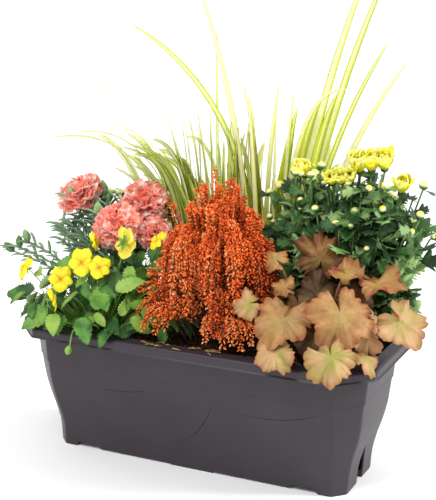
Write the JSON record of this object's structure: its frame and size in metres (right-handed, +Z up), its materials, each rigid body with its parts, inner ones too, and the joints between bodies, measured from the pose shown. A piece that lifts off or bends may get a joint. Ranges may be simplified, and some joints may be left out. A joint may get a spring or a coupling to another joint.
{
  "type": "planted window box",
  "caption": "Long moulded window box with angled corners, full of soil and planted with tall striped grass, orange heather, coral bells, violas, carnations and chrysanthemum.",
  "frame": {"origin": "middle of the base, on the flat of the middle pad that the box stands on", "axes": "+X along the box, towards the coral bells and chrysanthemum; -Y is the front; +Z up"},
  "size_m": [0.6241, 0.2678, 0.6552],
  "materials": {
    "anthracite_plastic": "matte",
    "potting_soil": "matte",
    "broad_blade": "satin",
    "slender_blade": "satin",
    "heather": "matte",
    "coral_bells_leaf": "satin",
    "viola_petal": "matte",
    "viola_leaf": "satin",
    "carnation_petal": "matte",
    "carnation_leaf": "matte",
    "chrysanthemum_petal": "matte",
    "chrysanthemum_leaf": "matte"
  },
  "bodies": {
    "root": {"window_box": "anthracite_plastic", "potting_soil": "potting_soil", "heather_bush": "heather", "carnation_foliage": "carnation_leaf", "chrysanthemum_foliage": "chrysanthemum_leaf", "broad_blade_1": "broad_blade", "broad_blade_2": "broad_blade", "broad_blade_3": "broad_blade", "broad_blade_4": "broad_blade", "broad_blade_5": "broad_blade", "broad_blade_6": "broad_blade", "broad_blade_7": "broad_blade", "broad_blade_8": "broad_blade", "broad_blade_9": "broad_blade", "broad_blade_10": "broad_blade", "slender_blade_1": "slender_blade", "slender_blade_2": "slender_blade", "slender_blade_3": "slender_blade", "slender_blade_4": "slender_blade", "slender_blade_5": "slender_blade", "slender_blade_6": "slender_blade", "slender_blade_7": "slender_blade", "slender_blade_8": "slender_blade", "coral_bells_leaf_upright": "coral_bells_leaf", "coral_bells_leaf_left_back": "coral_bells_leaf", "coral_bells_leaf_right_back": "coral_bells_leaf", "coral_bells_leaf_right_middle": "coral_bells_leaf", "coral_bells_leaf_large_front": "coral_bells_leaf", "coral_bells_leaf_right_end": "coral_bells_leaf", "coral_bells_leaf_large_left": "coral_bells_leaf", "coral_bells_leaf_olive_left": "coral_bells_leaf", "coral_bells_leaf_rim_left": "coral_bells_leaf", "coral_bells_leaf_rim_right": "coral_bells_leaf", "viola_flower_left_end": "viola_petal", "viola_flower_front_left": "viola_petal", "viola_flower_middle": "viola_petal", "viola_flower_right": "viola_petal", "viola_flower_low_front": "viola_petal", "viola_flower_tall_bud": "viola_petal", "viola_flower_right_nodding": "viola_petal", "viola_flower_beside_heather": "viola_petal", "viola_leaf_left_end": "viola_leaf", "viola_leaf_large_front_left": "viola_leaf", "viola_leaf_front_left": "viola_leaf", "viola_leaf_front_right": "viola_leaf", "viola_leaf_middle_dark": "viola_leaf", "viola_leaf_right": "viola_leaf", "viola_leaf_back_left": "viola_leaf", "carnation_flower_left": "carnation_petal", "carnation_flower_front": "carnation_petal", "carnation_flower_top": "carnation_petal", "carnation_flower_right": "carnation_petal", "carnation_flower_buds": "carnation_petal", "chrysanthemum_bloom_high": "chrysanthemum_petal", "chrysanthemum_bloom_middle": "chrysanthemum_petal", "chrysanthemum_bloom_right": "chrysanthemum_petal", "chrysanthemum_bloom_left": "chrysanthemum_petal", "chrysanthemum_buds_left": "chrysanthemum_petal"}
  },
  "joints": []
}
